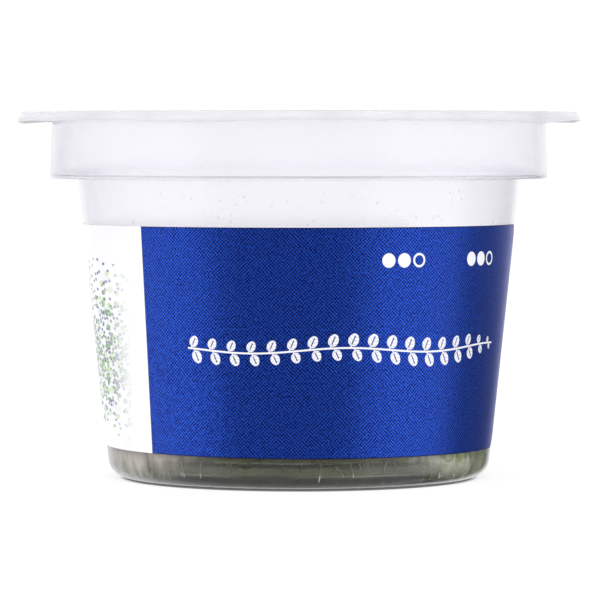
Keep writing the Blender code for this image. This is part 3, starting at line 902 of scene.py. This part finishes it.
class CARPET_CUP_OT_gel(bpy.types.Operator):
    """Makes the gel that fills the cup's foot and climbs its wall a little"""

    bl_idname = "carpet_cup.gel"
    bl_label = "Gel"

    def execute(self, context):
        gel = settings("gel")
        inset = settings("cup").wall - GEL_OVERLAP
        floor, rim = FLOOR - GEL_OVERLAP, gel.surface + gel.meniscus
        radius = wall_radius(rim, inset)
        under = rounded_path(((0.0, floor, 0.0), (wall_radius(floor, inset), floor, BASE_FILLET - inset),
                              (radius, rim, 0.0)))
        # The surface climbs towards the wall as exp(-distance / the climb's length)
        calm_from = 5.0 * MM
        away = np.append(np.geomspace(0.05 * MM, calm_from, 14), np.linspace(calm_from, radius, 24)[1:])
        away = away[:, None]
        angles = np.arange(ROUND_STEPS) * TURN / ROUND_STEPS
        place = radius - away
        swell = np.sin(place * 330.0 * np.cos(angles) + 1.0) * np.sin(place * 270.0 * np.sin(angles) + 0.4)
        calm = np.clip(place / calm_from, 0.0, 1.0) * np.clip(away / (2.0 * MM), 0.0, 1.0)
        upper = gel.surface + gel.meniscus * np.exp(-away / GEL_CLIMB) + GEL_SWELL * swell * calm
        steps = np.ones((1, ROUND_STEPS))
        points, faces = turned(np.concatenate([under[:, :1] * steps, place * steps]),
                               np.concatenate([under[:, 1:] * steps, upper]))
        add_piece("culture_gel", points, faces, [gel_finish()], nodes=["gel"])
        return {"FINISHED"}


def tubes(paths, radii, sides=6):
    """Closed tubes along paths (tubes, points, 3), whose radii are (points).

    Each ring is centre + radius (cos(b) e + sin(b) f), with e and f square to the path, and flat caps.
    """
    count, steps, _ = paths.shape
    along = unit(np.gradient(paths, axis=1))
    guide = np.where(np.abs(along[..., 2:]) < 0.9, (0.0, 0.0, 1.0), (1.0, 0.0, 0.0))
    first = unit(np.cross(along, guide))
    second = np.cross(along, first)
    turn = np.arange(sides) * TURN / sides
    ring = np.cos(turn)[:, None] * first[:, :, None] + np.sin(turn)[:, None] * second[:, :, None]
    points = paths[:, :, None] + radii[:, None, None] * ring
    starts = (np.arange(count) * steps * sides)[:, None, None]
    quads = (starts + grid_faces(steps, sides, wrap=True)).reshape(-1, 4)
    cap = starts[:, 0] + np.arange(sides)
    return points.reshape(-1, 3), [quads, np.concatenate([cap[:, ::-1], cap + (steps - 1) * sides])]


def leaf_pattern():
    """One leaf of length 1 from its foot at the origin along +X, and where its points lie on the blade.

    The outline is x = 0.5 + 0.5 cos(b), y = w sin(b) (1 - 0.12 cos(b)), the blade is thickest in the middle,
    folded up along its vein and curved down towards its rim. Its rings run from the lower middle out to the
    rim and back to the upper middle.
    """
    spoke = np.arange(LEAF_SPOKES) * TURN / LEAF_SPOKES
    rings, places = [], []
    for ring, side in ((0.62, -1.0), (1.0, -1.0), (1.0, 1.0), (0.62, 1.0)):
        x = 0.5 + 0.5 * ring * np.cos(spoke)
        y = LEAF_WIDTH * ring * np.sin(spoke) * (1.0 - 0.12 * ring * np.cos(spoke))
        curve = 0.16 * np.abs(y) - 0.10 * (x - 0.35) ** 2
        thick = 0.045 * (1.0 - ring**2) + 0.006
        places.append(np.stack([x, y / LEAF_WIDTH, np.zeros_like(x)], axis=1))
        rings.append(np.stack([x, y, curve + side * thick], axis=1))
    middle = [[0.5, 0.0, 0.0]]
    pattern = closed_rings(np.stack(rings), (0.5, 0.0, -0.05), (0.5, 0.0, 0.045))
    return pattern, np.concatenate(places + [middle, middle])


def copies(pattern, places, axes, sizes):
    """Copies of a pattern: place + size (x a + y b + z c), with a, b and c each copy's axes."""
    points, faces = pattern
    made = places[:, None] + sizes[:, None, None] * np.einsum("pk,nkj->npj", points, axes)
    starts = (np.arange(len(places)) * len(points))[:, None, None]
    return made.reshape(-1, 3), [(starts + group).reshape(-1, group.shape[1]) for group in faces]


def inside_cup(points, gap, soft):
    """The points, drawn in towards the axis where they would reach into the cup's wall.

    Within the soft distance of the wall a point gives way smoothly, so that leaves lie along it.
    """
    radius = np.hypot(points[..., 0], points[..., 1])
    limit = wall_radius(points[..., 2], settings("cup").wall) - gap
    over = np.clip((radius - (limit - soft)) / soft, 0.0, None)
    kept = np.where(over > 0.0, limit - soft + soft * (1.0 - np.exp(-over)), radius)
    scale = kept / np.maximum(radius, 1e-9)
    return points * np.stack([scale, scale, np.ones_like(scale)], axis=-1)


def plantlet_middle(number):
    """Where a plantlet stands: the middle of its packed body's box, on the gel."""
    low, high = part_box(f"plantlet_{number}")
    return np.array([(low.x + high.x) / 2, (low.y + high.y) / 2, settings("gel").surface])


def wandering(way, along, aside):
    """A path's way out: steps (paths, points) along an angle, and others square to it."""
    return (round_place(way, 1.0, 0.0)[:, None] * along[..., None]
            + round_place(way + TURN / 4, 1.0, 0.0)[:, None] * aside[..., None])


def plantlet_stems(middle, chance):
    """Paths of a plantlet's stems (stems, points, 3): they creep out on the gel and turn up, swaying."""
    plant = settings("plant")
    count = plant.stems
    way = np.arange(count) * GOLDEN_TURN + chance.uniform(0.0, TURN)
    spread = plant.spread * np.sqrt((np.arange(count) + 0.5) / count)
    t = np.linspace(0.0, 1.0, STEM_POINTS)
    reach = spread * 0.75 * chance.uniform(0.7, 1.25, count)
    shorter = 1.0 - 0.28 * (spread / plant.spread) ** 2
    rise = (plant.top - middle[2]) * chance.uniform(0.62, 0.98, count) * shorter
    sway = chance.uniform(-1.0, 1.0, (count, 1)) * 1.3 * MM
    bend = chance.uniform(0.0, TURN, (count, 1))
    foot = middle + round_place(way, spread * 0.35, 0.0)
    path = foot[:, None] + wandering(way, reach[:, None] * t**0.8, sway * np.sin(t * 4.2 + bend))
    path[..., 2] += rise[:, None] * (0.12 * t + 0.88 * t**1.35)
    return path


def nearest_plantlet(angles, middles):
    """Which plantlet stands nearest to each angle of the wall."""
    feet = round_place(angles, wall_radius(3.0 * MM), 0.0)
    return np.argmin(np.linalg.norm(feet[:, None, :2] - middles[None, :, :2], axis=2), axis=1)


def listed_roots(listed, number, middles):
    """Paths of the listed roots against the cup's wall that stand nearest to this plantlet."""
    top_angle, foot_angle, top, foot = np.array(listed).T[:, :, None]
    mine = nearest_plantlet(np.radians(top_angle[:, 0]), middles) == number - 1
    t = np.linspace(0.0, 1.0, ROOT_POINTS)
    height = (top + (foot - top) * t)[mine] * MM
    around = np.radians(top_angle + (foot_angle - top_angle) * t + 0.35 * np.sin(t * 4.0 + top_angle))[mine]
    depth = (settings("cup").wall + (0.16 + 0.06 * np.sin(top_angle * 1.7 + 3.0 * t)) * MM)[mine]
    return round_place(around, wall_radius(height, depth), height)


def matted_roots(number, middles):
    """Paths of the short roots that mat against the sides and back of the wall, nearest to this plantlet."""
    plant = settings("plant")
    chance = np.random.default_rng(plant.seed)
    shape = (plant.matted_roots, 1)
    edge = math.radians(MATTED_FROM)
    around = edge + (TURN - 2.0 * edge) * chance.random(shape)
    top = chance.uniform(3.0, 6.2, shape) * MM
    foot = np.maximum(top - chance.uniform(0.8, 3.4, shape) * MM, 1.35 * MM)
    lean = chance.normal(0.0, 0.045, shape)
    depth = (0.35 + 2.4 * chance.random(shape) ** 1.6) * MM
    phase = chance.uniform(0.0, TURN, shape)
    t = np.linspace(0.0, 1.0, ROOT_POINTS)
    mine = nearest_plantlet(around[:, 0], middles) == number - 1
    height = (top + (foot - top) * t)[mine]
    angles = (around + lean * t + 0.006 * np.sin(5.0 * t + phase))[mine]
    inset = (settings("cup").wall + depth + 0.12 * MM * np.sin(4.0 * t + phase * 2.0).clip(-0.5))[mine]
    return round_place(angles, wall_radius(height, inset), height)


def plantlet_roots(middle, chance, count=6):
    """Paths of the roots in the gel under a plantlet: they fan out and wander as they go down."""
    way = chance.uniform(0.0, TURN, count)
    t = np.linspace(0.0, 1.0, ROOT_POINTS)
    foot = middle + round_place(way, chance.uniform(0.5, 3.5, count) * MM, 0.0)
    fan = chance.uniform(0.5, 3.0, (count, 1)) * MM * t
    sway = np.sin(t * 4.0 + chance.uniform(0.0, TURN, (count, 1))) * 0.3 * MM
    path = foot[:, None] + wandering(way, fan, sway)
    path[..., 2] += 0.5 * MM - (middle[2] - chance.uniform(1.8, 3.6, (count, 1)) * MM) * t
    return path


def leaf_axes(way, lift, roll):
    """Axes of leaves (out, across, up) that point away at an angle, lifted and rolled about their length."""
    out = unit(round_place(way, 1.0, np.tan(np.clip(lift, -0.6, 1.2))))
    level = round_place(way + TURN / 4, 1.0, 0.0)
    across = unit(level + np.cross(out, level) * np.tan(roll)[..., None])
    up = np.cross(out, across)
    return np.stack([out, across, up * np.where(up[..., 2:] < 0.0, -1.0, 1.0)], axis=-2)


def sunken_leaves(number, middles):
    """Feet, axes, sizes and ages of the leaves sunk in the gel by the wall, nearest to this plantlet.

    They lie at every angle, deepest at the sides and the back.
    """
    plant = settings("plant")
    chance = np.random.default_rng(plant.seed + 50)
    count = plant.rim_leaves
    around = chance.uniform(-math.pi, math.pi, count)
    matted = np.clip((np.abs(np.degrees(around)) - MATTED_FROM) / 8.0, 0.0, 1.0)
    height = (5.8 - chance.random(count) ** 1.5 * (1.3 + 2.2 * matted)) * MM
    size = plant.leaf * chance.uniform(0.42, 0.8, count)
    inset = settings("cup").wall + size * 0.3 + chance.random(count) ** 2.5 * 3.5 * MM
    place = round_place(around, wall_radius(height, inset), height)
    axes = leaf_axes(chance.uniform(0.0, TURN, count), chance.normal(0.0, 0.5, count),
                     chance.normal(0.0, 0.7, count))
    fresh = 1.5 * matted * (around > 0.0) * chance.random(count)
    age = np.clip(chance.uniform(1.4, 2.1, count) - fresh, 0.2, 2.0)
    feet = place - axes[:, 0] * size[:, None] * 0.5
    mine = nearest_plantlet(around, middles) == number - 1
    return feet[mine], axes[mine], size[mine], age[mine]


def leaf_places(paths, chance):
    """Feet, axes, sizes and ages of the leaves: pairs up each stem, every pair square to the last one."""
    count = len(paths)
    feet = np.repeat(paths[:, LEAF_POINTS], 2, axis=1)
    rank = np.repeat(np.arange(len(LEAF_POINTS)), 2)
    side = np.tile((0.0, 1.0), len(LEAF_POINTS))
    start = chance.uniform(0.0, TURN, (count, 1))
    way = start + rank * TURN / 4 + side * TURN / 2 + chance.normal(0.0, 0.22, (count, len(rank)))
    climb = rank / rank.max()
    lift = np.radians(6.0 + 44.0 * climb**2.5) + chance.normal(0.0, 0.20, way.shape)
    roll = chance.normal(0.0, 0.28, way.shape)
    grown = np.where(rank == rank.max(), 0.55, 1.0 - 0.25 * climb)
    size = settings("plant").leaf * grown * chance.uniform(0.8, 1.1, way.shape)
    age = np.clip(1.05 - climb**1.6 + chance.normal(0.0, 0.12, way.shape), 0.0, 1.0)
    return feet.reshape(-1, 3), leaf_axes(way, lift, roll).reshape(-1, 3, 3), size.ravel(), age.ravel()


class CARPET_CUP_OT_plantlets(bpy.types.Operator):
    """Makes the plantlets: creeping stems with pairs of round leaves, and roots in the gel"""

    bl_idname = "carpet_cup.plantlets"
    bl_label = "Plantlets"

    def execute(self, context):
        plant = settings("plant")
        middles = np.array([plantlet_middle(i + 1) for i in range(PLANTLET_COUNT)])
        pattern, on_blade = leaf_pattern()
        finishes = [leaf_finish(), stem_finish("stem", plant.stem_green, plant.young_green),
                    stem_finish("root", plant.root_cream, tuple(0.8 * v + 0.18 for v in plant.root_cream)),
                    stem_finish("old_root", plant.root_brown, tuple(1.6 * v for v in plant.root_brown))]
        stem_taper = np.linspace(*STEM_TAPER, STEM_POINTS) * MM
        root_taper = np.linspace(*ROOT_TAPER, ROOT_POINTS) * MM
        for number, middle in enumerate(middles, 1):
            chance = np.random.default_rng(plant.seed + number)
            paths = plantlet_stems(middle, chance)
            grown, sunk = leaf_places(paths, chance), sunken_leaves(number, middles)
            feet, axes, sizes, ages = (np.concatenate(pair) for pair in zip(grown, sunk))
            cream = np.concatenate([plantlet_roots(middle, chance), matted_roots(number, middles),
                                    listed_roots(WALL_ROOTS, number, middles)])
            brown = listed_roots(BROWN_ROOTS, number, middles)
            parts = [copies(pattern, feet, axes, sizes), tubes(paths, stem_taper),
                     tubes(cream, root_taper, 5), tubes(brown, root_taper, 5)]
            points, faces = joined(parts)
            kinds = [np.full(len(group), kind) for kind, part in enumerate(parts) for group in part[1]]
            roots_from = len(parts[0][0]) + len(parts[1][0])
            points = np.concatenate([inside_cup(points[:roots_from], *LEAF_CLEARANCE),
                                     inside_cup(points[roots_from:], *ROOT_CLEARANCE)])
            piece = add_piece(f"carpet_{number}", points, faces, finishes, np.concatenate(kinds),
                              nodes=[f"plantlet_{number}"])
            place = np.tile(on_blade, (len(feet), 1))
            place[:, 2] = np.repeat(ages, len(on_blade))
            elsewhere = np.zeros((len(points) - len(place), 3))
            add_attribute(piece, "leaf_place", np.concatenate([place, elsewhere]))
        return {"FINISHED"}


def drop_pattern(spokes=8):
    """One drop of radius 1 lying on the plane z = 0, its foot a little under it: a closed flat dome."""
    spoke = np.arange(spokes) * TURN / spokes
    rings = [np.stack([r * np.cos(spoke), r * np.sin(spoke), np.full(spokes, z)], axis=1)
             for r, z in ((0.7, -0.06), (1.0, 0.0), (0.78, 0.14), (0.4, 0.22))]
    return closed_rings(np.stack(rings), (0.0, 0.0, -0.06), (0.0, 0.0, 0.25))


class CARPET_CUP_OT_condensation(bpy.types.Operator):
    """Makes the fine drops on the inside of the wall and under the film"""

    bl_idname = "carpet_cup.condensation"
    bl_label = "Condensation"

    def execute(self, context):
        drops, cup, film = settings("drops"), settings("cup"), settings("film")
        chance = np.random.default_rng(drops.seed)
        angles = chance.uniform(0.0, TURN, drops.count)
        height = DROPS_TOP - DROPS_REACH * chance.random(drops.count) ** 1.5
        size = drops.least + (drops.most - drops.least) * chance.random(drops.count) ** 3.0
        up = unit(round_place(angles, -1.0, WALL_TAPER))
        out = round_place(angles + TURN / 4, 1.0, 0.0)
        wall = copies(drop_pattern(), round_place(angles, wall_radius(height, cup.wall), height),
                      np.stack([out, np.cross(up, out), up], axis=-2), size)

        radius = SEAL_RADIUS[0] * 0.95 * np.sqrt(chance.random(drops.film_count))
        places = round_place(chance.uniform(0.0, TURN, drops.film_count), radius,
                             film.top - film.thickness - film.ripple * 0.5)
        size = drops.least + (drops.most * 1.6 - drops.least) * chance.random(drops.film_count) ** 2.0
        down = np.tile(np.diag((1.0, -1.0, -1.0)), (drops.film_count, 1, 1))
        points, faces = joined([wall, copies(drop_pattern(), places, down, size)])
        add_piece("condensation", points, faces, [water_finish()])
        return {"FINISHED"}


class CARPET_CUP_OT_stage(bpy.types.Operator):
    """Sets the white table, the soft light and the camera"""

    bl_idname = "carpet_cup.stage"
    bl_label = "Stage"

    def execute(self, context):
        stage, scene = settings("stage"), context.scene
        scene.view_settings.view_transform = "Standard"
        for kind, count in BOUNCES.items():
            setattr(scene.cycles, f"{kind}_bounces", count)
        scene.cycles.use_denoising = True
        scene.world = bpy.data.worlds.new("white_room")
        scene.world.use_nodes = True
        feed(scene.world.node_tree.nodes["Background"], Color=WHITE, Strength=stage.room_light)
        self.add_table(scene)
        self.add_surround(scene, stage)
        self.add_key_light(scene, stage)
        self.add_camera(scene, stage)
        return {"FINISHED"}

    def placed(self, scene, data, place=(0.0, 0.0, 0.0), turn=(0.0, 0.0, 0.0)):
        """An object of the stage, named as its data."""
        made = bpy.data.objects.new(data.name, data)
        made.location, made.rotation_euler = place, turn
        scene.collection.objects.link(made)
        return made

    def add_sheet(self, scene, name, points, faces, finish):
        """A sheet of the stage."""
        mesh = bpy.data.meshes.new(name)
        mesh.from_pydata(points, [], faces)
        mesh.materials.append(finish)
        sheet = self.placed(scene, mesh)
        return sheet

    def add_table(self, scene):
        """A white table that glows, as an overexposed one does, with a painted shadow where the cup stands
        on it.
        """
        white, shader = new_finish("table_white", Base_Color=(0.25, 0.25, 0.25), Roughness=0.9,
                                   Specular_IOR_Level=0.0, Emission_Color=WHITE)
        x, y, _ = split(own_place(shader))
        across, deep = x / CUP_SHADE[0], y / CUP_SHADE[1]
        painted_cup_shadow = (across * across + deep * deep).root().under(1.0, 0.04)
        # painted shadow: the table's glow drops from 0.8 to 0.1 under the cup
        feed(shader, Emission_Strength=0.8 - painted_cup_shadow * 0.7)
        corners = [(x * TABLE_REACH, y * TABLE_REACH, TABLE_HEIGHT)
                   for x, y in ((-1, -1), (1, -1), (1, 1), (-1, 1))]
        self.add_sheet(scene, "table", corners, [(0, 1, 2, 3)], white).visible_glossy = False

    def add_surround(self, scene, stage):
        """The studio that shows only in what shines: a wide ring round the set, open at the back.

        Its light at an angle a is the front's, then the sides', with a dark flag low on the right. It rises
        to the soft boxes' as (1 + tanh((half width - |a - middle|) / softness)) / 2, and again at its ends.
        """
        angles = np.linspace(-HALF_TURN, HALF_TURN, STUDIO_STEPS)
        glow = sum(0.5 + 0.5 * np.tanh((half - np.abs(angles - middle)) / SOFTNESS)
                   for middle, half in SOFT_BOXES)
        ends = FLAG_END + FLAG_FURTHER * FLAGGED * (angles > 0.0)
        glow = glow + 0.42 + 0.42 * np.tanh((np.abs(angles) - ends) / SOFTNESS)
        finish, shader = new_finish("studio", Base_Color=(0.0, 0.0, 0.0), Specular_IOR_Level=0.0,
                                    Emission_Color=(0.95, 0.94, 1.0))
        finish.cycles.emission_sampling = "NONE"
        feed(shader, Emission_Strength=stored(shader, "glow", "Fac"))
        points = round_place(angles, STUDIO_RADIUS, STUDIO_HEIGHTS[:, None]).reshape(-1, 3)
        faces = grid_faces(len(STUDIO_HEIGHTS), STUDIO_STEPS)
        surround = self.add_sheet(scene, "surround", points.tolist(), faces.tolist(), finish)
        front = 0.5 - 0.5 * np.tanh((np.abs(angles) - FRONT_END) / (2.0 * SOFTNESS))
        flag = FLAGGED * (0.5 + 0.5 * np.tanh(angles / SOFTNESS))
        side = stage.side_light + (stage.flag_light - stage.side_light) * flag
        dim = side + (stage.front_light - side) * front
        add_attribute(surround, "glow", dim + (stage.box_light - dim) * glow, "FLOAT")
        for ray in ("camera", "diffuse", "transmission", "shadow"):
            setattr(surround, f"visible_{ray}", False)

    def add_key_light(self, scene, stage):
        """A large soft light above and in front of the cup. Its power is radiance pi area."""
        size, place, turn = KEY_LIGHT
        data = bpy.data.lights.new("key_light", "AREA")
        data.size, data.energy = size, stage.key_light * math.pi * size**2
        self.placed(scene, data, place, turn).visible_camera = False

    def add_camera(self, scene, stage):
        """The camera: level with the cup's collar, far away and looking a little down."""
        data = bpy.data.cameras.new("camera")
        data.lens, data.sensor_width = stage.lens, 36.0
        data.clip_start, data.clip_end = 0.05, 20.0
        place = (stage.camera_side, -stage.camera_distance, stage.camera_height)
        turn = (math.pi / 2 - stage.camera_pitch, 0.0, 0.0)
        scene.camera = self.placed(scene, data, place, turn)


OPERATORS = (
    CARPET_CUP_OT_cup,
    CARPET_CUP_OT_film,
    CARPET_CUP_OT_label,
    CARPET_CUP_OT_gel,
    CARPET_CUP_OT_plantlets,
    CARPET_CUP_OT_condensation,
    CARPET_CUP_OT_stage,
)


class CARPET_CUP_PT_panel(bpy.types.Panel):
    """Lists the pieces, each with its settings"""

    bl_label = "Carpet plant"
    bl_space_type = "VIEW_3D"
    bl_region_type = "UI"
    bl_category = "Carpet plant"

    def draw(self, context):
        for operator, (name, group) in zip(OPERATORS, GROUPS.items()):
            box = self.layout.box()
            box.operator(operator.bl_idname)
            for setting in group.__annotations__:
                box.prop(settings(name), setting)


CLASSES = (*GROUPS.values(), CarpetCupSettings, *OPERATORS, CARPET_CUP_PT_panel)


def register():
    """Registers the classes and adds the settings to the scene."""
    for each in CLASSES:
        bpy.utils.register_class(each)
    bpy.types.Scene.carpet_cup = PointerProperty(type=CarpetCupSettings)


def unregister():
    """Takes them away again, in the opposite order."""
    del bpy.types.Scene.carpet_cup
    for each in reversed(CLASSES):
        bpy.utils.unregister_class(each)


def main():
    """Registers the add-on and makes every piece in order."""
    register()
    for operator in OPERATORS:
        group, name = operator.bl_idname.split(".")
        getattr(getattr(bpy.ops, group), name)()


if __name__ == "__main__":
    main()
